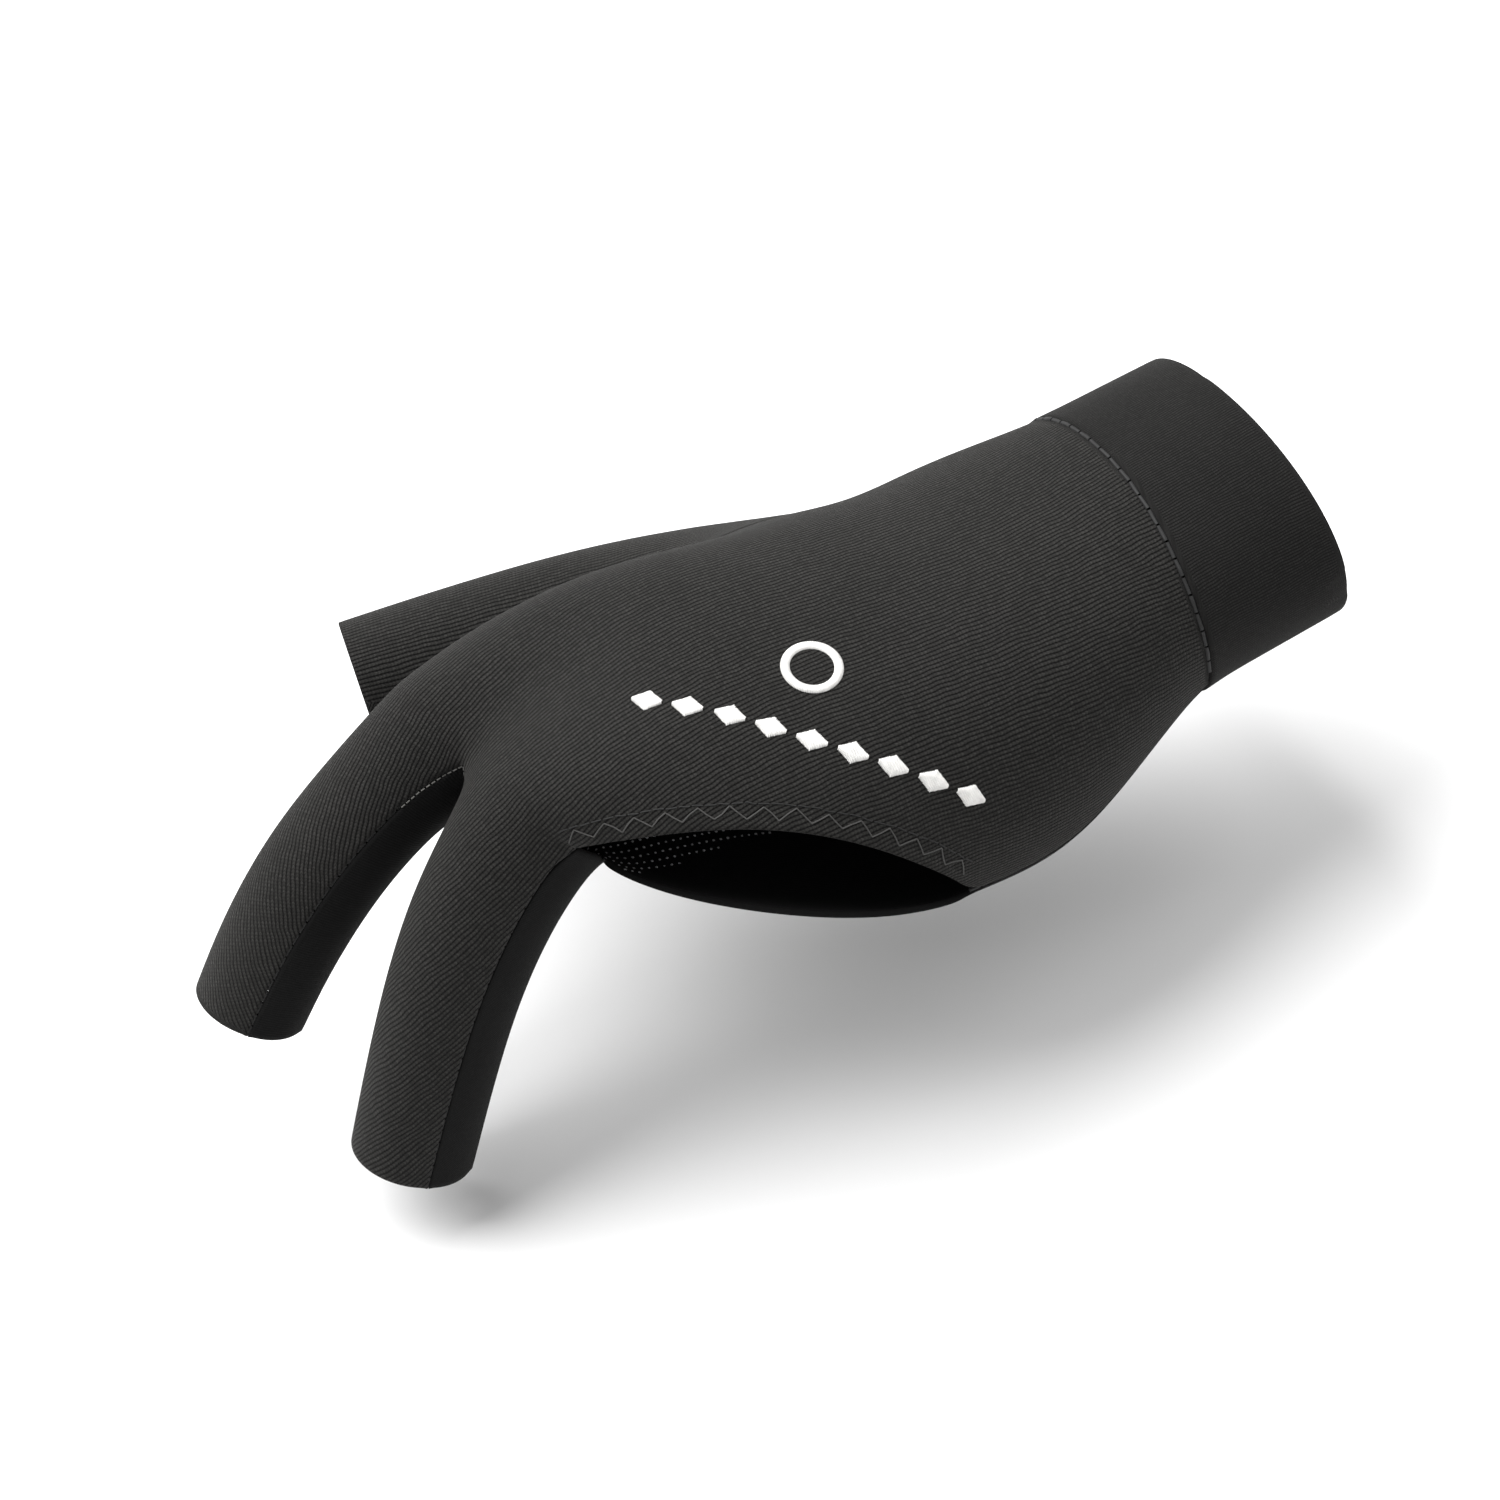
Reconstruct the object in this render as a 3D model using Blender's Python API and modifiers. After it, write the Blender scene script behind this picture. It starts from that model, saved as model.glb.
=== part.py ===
"""Billiard glove for a left bridge hand, in the form it has when worn.

Metres. X runs to the wrist, Y to the thumb, Z up out of the back of the hand.
The origin is the centre of the cuff's mouth, where the wrist goes in.

The hand's skin is one coarse cage of quads, read from short tables of sections and
smoothed by Subdivision Surface. It is then cut along the seams into the pieces that
the glove is sewn from, and each piece is given its cloth wall outside the skin.
"""
import math
from collections import namedtuple

import bmesh
import bpy
from mathutils import Vector

# Cloth and seams
FABRIC_WALL = 0.0011
CUFF_WALL = 0.0020
CUFF_PROUD = 0.0004
SEAM_GAP = 0.0003

# Cuff and wrist
CUFF_LENGTH = 0.0256
CUFF_TAPER = 0.0010
MOUTH_SKEW = 0.0020
SEAM_BOW = 0.0035
SEAM_BOW_FADE = 0.30
WRIST_WIDTH = 0.0580
WRIST_DEPTH = 0.0410

# Hand, from the cuff's seam to the web between the two fingers
PALM_LENGTH = 0.1110
PALM_WIDTH = 0.0830
PALM_DEPTH = 0.0320

# Finger sleeves, from the web to their cut ends
INDEX_LENGTH = 0.0594
INDEX_WIDTH = 0.0185
INDEX_BASE_SIDE = 0.0243
MIDDLE_LENGTH = 0.0682
MIDDLE_WIDTH = 0.0196
MIDDLE_BASE_SIDE = 0.0001
MIDDLE_BASE_BACK = 0.0060
MIDDLE_BASE_DROP = 0.0020
WEB_SETBACK = 0.0020
FINGER_BASE_RISE = 0.0125

# Thumb sleeve, from its seam round the ball of the thumb to its cut end
THUMB_LENGTH = 0.0710
THUMB_WIDTH = 0.0218
THUMB_BASE_DROP = 0.0040

# How many quads the cage has
PANEL_COLUMNS = 8
CROTCH_COLUMN = 4
CUFF_ROWS = 3
INDEX_ROWS = 7
MIDDLE_ROWS = 8
THUMB_ROWS = 6
THUMB_EASE_ROWS = 3
SMOOTH_LEVELS = 1
BEND_STEPS = 8
SHARP_ANGLE = 50.0

# The hand's sections. Widths are shares of the local width, and rise, top and bottom are
# shares of the local depth. Both go from the wrist's sizes to the palm's as wrist falls.
# rise is the height of the section's middle line, slope lifts the thumb side, and
# square is the power of the oval, where 2 is an ellipse.
Section = namedtuple("Section", "along wrist thumb_side little_side rise top bottom slope square")
HAND = (
    Section(0.00, 1.00, 0.50, 0.50, 0.00, 0.50, 0.50, 0.00, 2.05),
    Section(0.14, 0.75, 0.53, 0.54, -0.03, 0.53, 0.61, 0.00, 2.10),
    Section(0.32, 0.30, 0.44, 0.53, -0.05, 0.70, 0.74, 0.03, 2.20),
    Section(0.52, 0.05, 0.40, 0.505, 0.05, 0.78, 0.71, 0.08, 2.30),
    Section(0.76, 0.00, 0.42, 0.46, 0.30, 0.67, 0.44, 0.12, 2.30),
    Section(1.00, 0.00, 0.38, 0.36, 0.34, 0.44, 0.36, 0.10, 2.30),
)

# The rows of the hand's cage, as shares of its length. The ring and little fingers' opening
# starts at OPEN_ROW, and the thumb's at THUMB_ROW_WRIST.
HAND_ROWS = (0.00, 0.07, 0.15, 0.225, 0.30, 0.37, 0.445, 0.53, 0.62, 0.71, 0.80, 0.90, 1.00)
OPEN_ROW = 6
THUMB_ROW_WRIST = 4
THUMB_ROW_WEB = 8
WEB_BLEND_START = 0.62
THUMB_HOLE_END = 0.40
THUMB_HOLE_MIDDLE = 0.85
THUMB_HOLE_UNDER = 1.9
THUMB_HOLE_FADE = 0.6

# Where the edges of the ring and little fingers' opening lie, in degrees round the section:
# 0 is the thumb side and 180 the little side, over the back and under the palm.
OpeningEdge = namedtuple("OpeningEdge", "along back palm")
OPENING = (
    OpeningEdge(0.00, 205.0, 155.0),
    OpeningEdge(0.40, 205.0, 155.0),
    OpeningEdge(0.445, 205.0, 155.0),
    OpeningEdge(0.55, 172.0, 158.0),
    OpeningEdge(0.70, 147.0, 163.0),
    OpeningEdge(0.86, 140.0, 171.0),
    OpeningEdge(1.00, 140.0, 170.0),
)

# A finger's sections, from the web to its end: pitch is degrees below level, yaw degrees
# towards the thumb, width and depth shares of the finger's width.
Phalanx = namedtuple("Phalanx", "along pitch yaw width depth")
INDEX = (
    Phalanx(0.00, 22.0, -1.0, 1.14, 1.20),
    Phalanx(0.30, 28.0, 0.0, 1.05, 1.12),
    Phalanx(0.58, 42.0, 2.0, 1.06, 1.08),
    Phalanx(1.00, 55.0, 4.0, 1.00, 1.00),
)
MIDDLE = (
    Phalanx(0.00, 30.0, -4.0, 1.16, 1.22),
    Phalanx(0.30, 48.0, -5.0, 1.10, 1.14),
    Phalanx(0.60, 59.0, -4.0, 1.05, 1.06),
    Phalanx(1.00, 63.0, -2.0, 1.00, 1.00),
)
THUMB = (
    Phalanx(0.00, 6.0, 44.0, 1.20, 1.06),
    Phalanx(0.25, 4.0, 32.0, 1.10, 1.02),
    Phalanx(0.55, 1.0, 19.0, 1.03, 1.00),
    Phalanx(1.00, -1.0, 12.0, 1.00, 1.00),
)

# The seams round a finger, in degrees: 0 is the thumb side, 90 the back, 180 the little side.
INDEX_BACK_FROM = -6.0
INDEX_BACK_TO = 158.0
INDEX_PALM_FROM = 224.0
MIDDLE_RADIAL_BACK = 22.0
MIDDLE_BACK_TO = 170.0
MIDDLE_PALM_FROM = 228.0
MIDDLE_PALM_TO = 318.0

# Swells and dents of the worn hand: the place is a share of the hand's length and degrees
# round from the thumb side, over the back or, below zero, under the palm. size is a share of
# the palm's width and height one of its depth.
Swell = namedtuple("Swell", "name along round size height")
SWELLS = (
    Swell("index_knuckle", 0.80, 48.0, 0.133, 0.062),
    Swell("middle_knuckle", 0.80, 112.0, 0.133, 0.056),
    Swell("knuckle_valley", 0.92, 83.0, 0.120, -0.069),
    Swell("root_of_thumb", 0.42, -12.0, 0.193, 0.080),
    Swell("ball_of_thumb", 0.34, -45.0, 0.217, 0.094),
    Swell("heel", 0.28, -144.0, 0.217, 0.062),
    Swell("hollow_of_hand", 0.62, -90.0, 0.241, -0.109),
)

# The sewn pieces, with the colour and roughness of each one's cloth
RIB_KNIT = (0.035, 0.035, 0.033)
CUFF_KNIT = (0.028, 0.028, 0.027)
SMOOTH_KNIT = (0.016, 0.016, 0.016)
Piece = namedtuple("Piece", "name colour roughness")
PIECES = (
    Piece("back_panel", RIB_KNIT, 0.85),
    Piece("palm_panel", SMOOTH_KNIT, 0.80),
    Piece("cuff", CUFF_KNIT, 0.80),
    Piece("thumb_sleeve", RIB_KNIT, 0.85),
    Piece("crotch_strip", SMOOTH_KNIT, 0.75),
    Piece("middle_side_strip", SMOOTH_KNIT, 0.75),
)
BACK, PALM, CUFF, THUMB_PIECE, CROTCH_STRIP, SIDE_STRIP = range(len(PIECES))


def read(table, name, along):
    """Reads one column of a table, on a smooth curve through its rows."""
    places = [row.along for row in table]
    values = [getattr(row, name) for row in table]
    slopes = []
    for i in range(len(table)):
        low, high = max(i - 1, 0), min(i + 1, len(table) - 1)
        slopes.append((values[high] - values[low]) / (places[high] - places[low]))
    along = min(max(along, places[0]), places[-1])
    i = max(k for k in range(len(table) - 1) if places[k] <= along)
    span = places[i + 1] - places[i]
    t = (along - places[i]) / span
    return ((2 * t ** 3 - 3 * t ** 2 + 1) * values[i] + (t ** 3 - 2 * t ** 2 + t) * span * slopes[i]
            + (3 * t ** 2 - 2 * t ** 3) * values[i + 1] + (t ** 3 - t ** 2) * span * slopes[i + 1])


def ease(t):
    """A smooth step from 0 to 1."""
    t = min(max(t, 0.0), 1.0)
    return t * t * (3.0 - 2.0 * t)


def oval(angle, power):
    """A point on an oval of half sizes 1, at an angle in degrees."""
    c, s = math.cos(math.radians(angle)), math.sin(math.radians(angle))
    return (math.copysign(abs(c) ** (2.0 / power), c), math.copysign(abs(s) ** (2.0 / power), s))


def seam_place(angle):
    """How far the cuff's seam bows towards the mouth at an angle round the wrist."""
    return SEAM_BOW * max(0.0, math.sin(math.radians(angle))) ** 2


def hand_point(along, angle):
    """A point of the hand's skin: angle runs from the thumb side over the back."""
    wrist = read(HAND, "wrist", along)
    width = PALM_WIDTH + (WRIST_WIDTH - PALM_WIDTH) * wrist
    depth = PALM_DEPTH + (WRIST_DEPTH - PALM_DEPTH) * wrist
    side, up = oval(angle, read(HAND, "square", along))
    y = side * width * read(HAND, "thumb_side" if side > 0 else "little_side", along)
    z = depth * read(HAND, "rise", along) + up * depth * read(HAND, "top" if up > 0 else "bottom", along)
    z += read(HAND, "slope", along) * y
    x = -CUFF_LENGTH - along * PALM_LENGTH + seam_place(angle) * (1.0 - ease(along / SEAM_BOW_FADE))
    return Vector((x, y, z))


def thumb_hole_height(row, under):
    """How far the first column stands out at a row, so that the thumb's seam is an oval."""
    share = (row - THUMB_ROW_WRIST) / (THUMB_ROW_WEB - THUMB_ROW_WRIST)
    side = THUMB_HOLE_UNDER if under else 1.0
    if 0.0 <= share <= 1.0:
        return side * (THUMB_HOLE_END + (THUMB_HOLE_MIDDLE - THUMB_HOLE_END) * math.sin(math.pi * share))
    away = max(-share, share - 1.0)
    return 1.0 + (side * THUMB_HOLE_END - 1.0) * max(0.0, 1.0 - away / THUMB_HOLE_FADE)


def swelling(point, along):
    """Moves a point of the hand in or out by the swells and dents near it."""
    middle = Vector((point.x, 0.0, PALM_DEPTH * read(HAND, "rise", along)))
    outward = (point - middle).normalized()
    height = 0.0
    for swell in SWELLS:
        place = hand_point(swell.along, swell.round)
        height += swell.height * PALM_DEPTH * math.exp(-((point - place).length / (swell.size * PALM_WIDTH)) ** 2)
    return point + outward * height


class Finger:
    """A sleeve's centre line and its ring of points at each row."""

    def __init__(self, base, table, length, width, rows):
        self.table = table
        self.width = width
        self.rows = rows
        self.frames = [self.frame(base, 0.0)]
        steps = BEND_STEPS * rows
        place = base.copy()
        for i in range(steps):
            place = place + self.direction((i + 0.5) / steps) * (length / steps)
            if (i + 1) % BEND_STEPS == 0:
                self.frames.append(self.frame(place, (i + 1) / steps))

    def direction(self, along):
        pitch = math.radians(read(self.table, "pitch", along))
        yaw = math.radians(read(self.table, "yaw", along))
        return Vector((-math.cos(pitch) * math.cos(yaw), math.cos(pitch) * math.sin(yaw), -math.sin(pitch)))

    def frame(self, place, along):
        ahead = self.direction(along)
        side = Vector((0, 0, 1)).cross(-ahead).normalized()
        side = -side if side.y < 0 else side
        back = ahead.cross(side).normalized()
        back = -back if back.z < 0 else back
        return place, side, back, along

    def point(self, row, angle, power=2.0):
        place, side, back, along = self.frames[row]
        across, up = oval(angle, power)
        half_width = 0.5 * self.width * read(self.table, "width", along)
        half_depth = 0.5 * self.width * read(self.table, "depth", along)
        return place + side * across * half_width + back * up * half_depth


def spread(first, last, count):
    """count + 1 even angles from first to last."""
    return [first + (last - first) * i / count for i in range(count + 1)]


def make_cage():
    """Builds the skin's cage, with each face's piece as its material index."""
    bm = bmesh.new()
    half = CROTCH_COLUMN
    web_x = -CUFF_LENGTH - PALM_LENGTH

    index_base = Vector((web_x, INDEX_BASE_SIDE, FINGER_BASE_RISE))
    middle_base = Vector((web_x + MIDDLE_BASE_BACK, MIDDLE_BASE_SIDE, FINGER_BASE_RISE - MIDDLE_BASE_DROP))
    index = Finger(index_base, INDEX, INDEX_LENGTH, INDEX_WIDTH, INDEX_ROWS)
    middle = Finger(middle_base, MIDDLE, MIDDLE_LENGTH, MIDDLE_WIDTH, MIDDLE_ROWS)

    # Angles of each finger's ring, panel by panel
    index_back = spread(INDEX_BACK_FROM, INDEX_BACK_TO, half)
    index_strip = spread(INDEX_BACK_TO, INDEX_PALM_FROM, 2)
    index_palm = spread(360.0 + INDEX_BACK_FROM, INDEX_PALM_FROM, half)
    middle_back = spread(MIDDLE_RADIAL_BACK, MIDDLE_BACK_TO, half)
    middle_side = spread(MIDDLE_BACK_TO, MIDDLE_PALM_FROM, 2)
    middle_palm = spread(MIDDLE_PALM_TO, MIDDLE_PALM_FROM, half)
    middle_strip = spread(MIDDLE_RADIAL_BACK, MIDDLE_PALM_TO - 360.0, 2)

    def web_point(column, under):
        """The point at the fingers' base where a column of the hand ends."""
        first = index_palm if under else index_back
        second = middle_palm if under else middle_back
        if column < half:
            return index.point(0, first[column])
        if column > half:
            return middle.point(0, second[column - half])
        return (index.point(0, first[half]) + middle.point(0, second[0])) / 2

    def hand_vert(row, column, under):
        along = HAND_ROWS[row]
        edge = read(OPENING, "palm" if under else "back", along)
        angle = edge * column / PANEL_COLUMNS * (-1 if under else 1)
        if column == 1:
            angle *= thumb_hole_height(row, under)
        skin = swelling(hand_point(along, angle), along)
        blend = ease((along - WEB_BLEND_START) / (1.0 - WEB_BLEND_START))
        return bm.verts.new(skin.lerp(web_point(column, under), blend))

    last = len(HAND_ROWS) - 1
    back = [[hand_vert(row, column, False) for column in range(PANEL_COLUMNS + 1)] for row in range(last + 1)]
    palm = []
    for row in range(last + 1):
        line = [back[row][0]]
        for column in range(1, PANEL_COLUMNS + 1):
            shared = column == PANEL_COLUMNS and row <= OPEN_ROW
            line.append(back[row][PANEL_COLUMNS] if shared else hand_vert(row, column, True))
        palm.append(line)

    def quad(a, b, c, d, piece):
        face = bm.faces.new((a, b, c, d))
        face.material_index = piece
        face.smooth = True

    def grid(lines, piece, skip=None):
        for row in range(len(lines) - 1):
            for column in range(len(lines[0]) - 1):
                if skip and skip(row, column):
                    continue
                quad(lines[row][column], lines[row][column + 1],
                     lines[row + 1][column + 1], lines[row + 1][column], piece)

    def in_thumb_hole(row, column):
        return column == 0 and THUMB_ROW_WRIST <= row < THUMB_ROW_WEB

    grid(back, BACK, skip=in_thumb_hole)
    grid(palm, PALM, skip=in_thumb_hole)

    # Cuff: the wrist's ring carried back to the mouth, with the mouth a little askew
    ring = back[0] + palm[0][-2:0:-1]
    count = len(ring)
    cuff = []
    for step in range(CUFF_ROWS, 0, -1):
        share = step / CUFF_ROWS
        line = []
        for vert in ring:
            taper = 1.0 - CUFF_TAPER / WRIST_WIDTH * share
            mouth = MOUTH_SKEW * vert.co.y / (0.5 * WRIST_WIDTH)
            x = vert.co.x + share * (-mouth - vert.co.x)
            line.append(bm.verts.new((x, vert.co.y * taper, vert.co.z * taper)))
        cuff.append(line + line[:1])
    cuff.append(ring + ring[:1])
    grid(cuff, CUFF)

    # Index sleeve: the back, the strip and the palm columns go round it
    index_base_strip = bm.verts.new((index.point(0, index_strip[1]) + middle.point(0, middle_strip[1])) / 2)
    index_base_strip.co.x += WEB_SETBACK
    strip_mid = [index_base_strip]
    index_back_rows, index_palm_rows = [back[last][:half + 1]], [palm[last][:half + 1]]
    for row in range(1, INDEX_ROWS + 1):
        over = [bm.verts.new(index.point(row, angle)) for angle in index_back]
        under = over[:1] + [bm.verts.new(index.point(row, angle)) for angle in index_palm[1:]]
        index_back_rows.append(over)
        index_palm_rows.append(under)
        strip_mid.append(bm.verts.new(index.point(row, index_strip[1])))
    grid(index_back_rows, BACK)
    grid(index_palm_rows, PALM)
    strip = [[over[-1], mid, under[-1]]
             for over, mid, under in zip(index_back_rows, strip_mid, index_palm_rows)]
    grid(strip, CROTCH_STRIP)

    # Middle sleeve: the same, with a strip on each side
    middle_back_rows, middle_palm_rows = [back[last][half:]], [palm[last][half:]]
    inner_mid = [index_base_strip]
    outer_mid = [bm.verts.new(middle.point(0, middle_side[1]))]
    for row in range(1, MIDDLE_ROWS + 1):
        middle_back_rows.append([bm.verts.new(middle.point(row, angle)) for angle in middle_back])
        middle_palm_rows.append([bm.verts.new(middle.point(row, angle)) for angle in middle_palm])
        inner_mid.append(bm.verts.new(middle.point(row, middle_strip[1])))
        outer_mid.append(bm.verts.new(middle.point(row, middle_side[1])))
    grid(middle_back_rows, BACK)
    grid(middle_palm_rows, PALM)
    inner = [[over[0], mid, under[0]] for over, mid, under in zip(middle_back_rows, inner_mid, middle_palm_rows)]
    grid(inner, CROTCH_STRIP)
    outer = [[over[-1], mid, under[-1]] for over, mid, under in zip(middle_back_rows, outer_mid, middle_palm_rows)]
    grid(outer, SIDE_STRIP)

    # Thumb sleeve: a tube from the loop round the hole in the thumb side of the hand
    web, wrist = THUMB_ROW_WEB, THUMB_ROW_WRIST
    loop = [back[web][0]] + [back[row][1] for row in range(web, wrist - 1, -1)]
    loop += [back[wrist][0]] + [palm[row][1] for row in range(wrist, web + 1)]
    centre = sum((vert.co for vert in loop), Vector()) / len(loop)
    centre.z -= THUMB_BASE_DROP
    thumb = Finger(centre, THUMB, THUMB_LENGTH, THUMB_WIDTH, THUMB_ROWS)
    lines = [loop + loop[:1]]
    for row in range(1, THUMB_ROWS + 1):
        line = []
        for i, vert in enumerate(loop):
            round_point = thumb.point(row, 180.0 - 360.0 * i / len(loop))
            carried = vert.co + thumb.frames[row][0] - centre
            line.append(bm.verts.new(carried.lerp(round_point, ease((row + 0.5) / THUMB_EASE_ROWS))))
        lines.append(line + line[:1])
    grid(lines, THUMB_PIECE)
    unused = [vert for vert in bm.verts if not vert.link_faces]
    bmesh.ops.delete(bm, geom=unused, context="VERTS")
    bmesh.ops.recalc_face_normals(bm, faces=bm.faces)
    return bm


def smooth_skin(collection):
    """The cage after Subdivision Surface, as a mesh; the cage stays as a guide."""
    cage = bpy.data.meshes.new("skin_cage")
    bm = make_cage()
    bm.to_mesh(cage)
    bm.free()
    guide = bpy.data.objects.new("skin_cage", cage)
    guide.hide_render = True
    guide.display_type = "WIRE"
    for piece in PIECES:
        cage.materials.append(bpy.data.materials[piece.name])
    collection.objects.link(guide)
    smooth = guide.modifiers.new("smooth", "SUBSURF")
    smooth.levels = SMOOTH_LEVELS
    smooth.render_levels = SMOOTH_LEVELS
    bpy.context.view_layer.update()
    shaped = guide.evaluated_get(bpy.context.evaluated_depsgraph_get())
    return bpy.data.meshes.new_from_object(shaped)


def seam_inset(vert, piece_faces):
    """The way from a seam point into its own piece, along the skin."""
    inward = Vector()
    for face in piece_faces:
        inward += face.calc_center_median() - vert.co
    edges = [edge for edge in vert.link_edges if edge.is_boundary]
    tangent = Vector()
    for edge in edges:
        step = (edge.other_vert(vert).co - vert.co).normalized()
        tangent = step - tangent if tangent.length else step
    if tangent.length > 1e-9:
        tangent.normalize()
        inward -= tangent * inward.dot(tangent)
    return inward.normalized()


def split_rims(bm, inner, number):
    """Halves each quad of the cut edges the same way in the two pieces that share a seam."""
    rims = [face for face in bm.faces if 0 < len(inner.intersection(face.verts)) < len(face.verts)]
    for face in rims:
        corners = list(face.verts)
        first = min((vert for vert in corners if vert not in inner), key=lambda vert: vert[number])
        opposite = corners[(corners.index(first) + 2) % len(corners)]
        bmesh.utils.face_split(face, first, opposite)


def make_piece(skin, piece, collection):
    """Cuts one piece out of the skin along its seams and gives it its wall."""
    wall = CUFF_WALL if piece == CUFF else FABRIC_WALL
    lift = FABRIC_WALL + CUFF_PROUD if piece == CUFF else FABRIC_WALL
    bm = bmesh.new()
    bm.from_mesh(skin)
    bm.normal_update()
    seam = bm.verts.layers.int.new("seam")
    number = bm.verts.layers.int.new("number")
    normal = bm.verts.layers.float_vector.new("skin_normal")
    for vert in bm.verts:
        vert[seam] = int(len({face.material_index for face in vert.link_faces}) > 1)
        vert[number] = vert.index
        vert[normal] = vert.normal
    others = [face for face in bm.faces if face.material_index != piece]
    bmesh.ops.delete(bm, geom=others, context="FACES")
    moves = {}
    for vert in bm.verts:
        if vert[seam]:
            moves[vert] = seam_inset(vert, vert.link_faces) * SEAM_GAP / 2
    for vert, move in moves.items():
        vert.co += move
    for vert in bm.verts:
        vert.co += Vector(vert[normal]) * lift
    outer = list(bm.faces)
    made = bmesh.ops.extrude_face_region(bm, geom=outer, use_keep_orig=True)["geom"]
    inner = [item for item in made if isinstance(item, bmesh.types.BMVert)]
    for vert in inner:
        vert.co -= Vector(vert[normal]) * wall
    split_rims(bm, set(inner), number)
    bmesh.ops.recalc_face_normals(bm, faces=bm.faces)
    name = PIECES[piece].name
    mesh = bpy.data.meshes.new(name)
    bm.to_mesh(mesh)
    bm.free()
    mesh.materials.clear()
    mesh.materials.append(bpy.data.materials[name])
    for face in mesh.polygons:
        face.material_index = 0
    mesh.shade_smooth()
    mesh.set_sharp_from_angle(angle=math.radians(SHARP_ANGLE))
    made_piece = bpy.data.objects.new(name, mesh)
    collection.objects.link(made_piece)


def make_material(name, colour, roughness):
    material = bpy.data.materials.new(name)
    material.use_nodes = True
    shader = material.node_tree.nodes["Principled BSDF"]
    shader.inputs["Base Color"].default_value = (*colour, 1.0)
    shader.inputs["Roughness"].default_value = roughness
    shader.inputs["Metallic"].default_value = 0.0


def main():
    for thing in list(bpy.data.objects):
        bpy.data.objects.remove(thing, do_unlink=True)
    for piece in PIECES:
        make_material(piece.name, piece.colour, piece.roughness)

    glove = bpy.data.collections.new("billiard_glove")
    guides = bpy.data.collections.new("guides")
    bpy.context.scene.collection.children.link(glove)
    bpy.context.scene.collection.children.link(guides)
    skin = smooth_skin(guides)
    for piece in range(len(PIECES)):
        make_piece(skin, piece, glove)


main()
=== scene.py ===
# %% [markdown]
# # A billiard glove in knitted cloth
# A billiard player wears this glove on the bridge hand, so that the cue slides over it.
# It covers the thumb, index and middle fingers and leaves the other two free.
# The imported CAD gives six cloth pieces. This lesson turns them into knitwear: each piece is
# smoothed, laid flat like the maker's pattern so that its ribs run the right way, and sewn
# with real threads.

# %% Load the frame
import math
import random

import bmesh
import bpy
import numpy as np
from mathutils import Matrix, Vector
from mathutils.bvhtree import BVHTree
from mathutils.kdtree import KDTree


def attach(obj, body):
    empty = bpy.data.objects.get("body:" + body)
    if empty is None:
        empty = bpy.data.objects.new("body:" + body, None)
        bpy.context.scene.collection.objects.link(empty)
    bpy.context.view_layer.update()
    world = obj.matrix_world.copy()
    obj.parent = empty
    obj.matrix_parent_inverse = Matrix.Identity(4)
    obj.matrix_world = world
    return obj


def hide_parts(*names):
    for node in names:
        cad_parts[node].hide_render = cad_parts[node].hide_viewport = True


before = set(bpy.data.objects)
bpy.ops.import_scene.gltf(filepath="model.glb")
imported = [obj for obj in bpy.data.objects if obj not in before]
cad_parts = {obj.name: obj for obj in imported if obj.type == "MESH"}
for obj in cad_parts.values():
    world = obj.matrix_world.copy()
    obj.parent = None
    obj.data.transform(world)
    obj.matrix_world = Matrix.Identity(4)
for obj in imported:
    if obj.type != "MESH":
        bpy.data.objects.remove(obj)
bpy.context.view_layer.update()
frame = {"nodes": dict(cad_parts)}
random.seed(7)
MM = 0.001
print("CAD nodes:", ", ".join(frame["nodes"]))

# %% [markdown]
# ## A small kit for shader nodes
# Fabric shaders are long chains of simple sums. A few helpers keep each step to one line, so
# that the recipe can be read from top to bottom.

# %% Node helpers
class Chain:
    """Adds nodes to a tree; a value is a number, a colour or another node's output."""

    def __init__(self, tree):
        self.tree = tree

    def put(self, socket, value):
        if isinstance(value, bpy.types.NodeSocket):
            self.tree.links.new(value, socket)
        elif value is not None:
            socket.default_value = value

    def node(self, kind, inputs=(), **settings):
        made = self.tree.nodes.new(kind)
        for name, value in settings.items():
            setattr(made, name, value)
        for key, value in dict(inputs).items():
            self.put(made.inputs[key], value)
        return made

    def sum(self, operation, *values):
        made = self.tree.nodes.new("ShaderNodeMath")
        made.operation = operation
        for socket, value in zip(made.inputs, values):
            self.put(socket, value)
        return made.outputs[0]

    def noise(self, vector, scale, detail=2.0, rough=0.5):
        made = self.node("ShaderNodeTexNoise", {"Vector": vector, "Scale": scale, "Detail": detail,
                                                "Roughness": rough})
        return made.outputs["Fac"]

    def step(self, value, low, high, to_low=0.0, to_high=1.0):
        made = self.node("ShaderNodeMapRange", {"Value": value, "From Min": low, "From Max": high,
                                                "To Min": to_low, "To Max": to_high},
                         interpolation_type="SMOOTHSTEP")
        return made.outputs["Result"]

    def mix(self, amount, first, second):
        made = self.node("ShaderNodeMix", data_type="RGBA")
        self.put(made.inputs[0], amount)
        self.put(made.inputs[6], first)
        self.put(made.inputs[7], second)
        return made.outputs[2]


def new_group(name, inputs, outputs):
    """A node group with the given sockets, as (group, chain, input node, output node)."""
    group = bpy.data.node_groups.new(name, "ShaderNodeTree")
    for label, kind, start in inputs:
        socket = group.interface.new_socket(label, in_out="INPUT", socket_type=kind)
        if start is not None:
            socket.default_value = start
    for label, kind in outputs:
        group.interface.new_socket(label, in_out="OUTPUT", socket_type=kind)
    chain = Chain(group)
    return group, chain, group.nodes.new("NodeGroupInput"), group.nodes.new("NodeGroupOutput")


def new_look(name):
    """An empty material, as (material, chain, its Principled shader)."""
    material = bpy.data.materials.new(name)
    material.use_nodes = True
    return material, Chain(material.node_tree), material.node_tree.nodes["Principled BSDF"]


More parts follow.
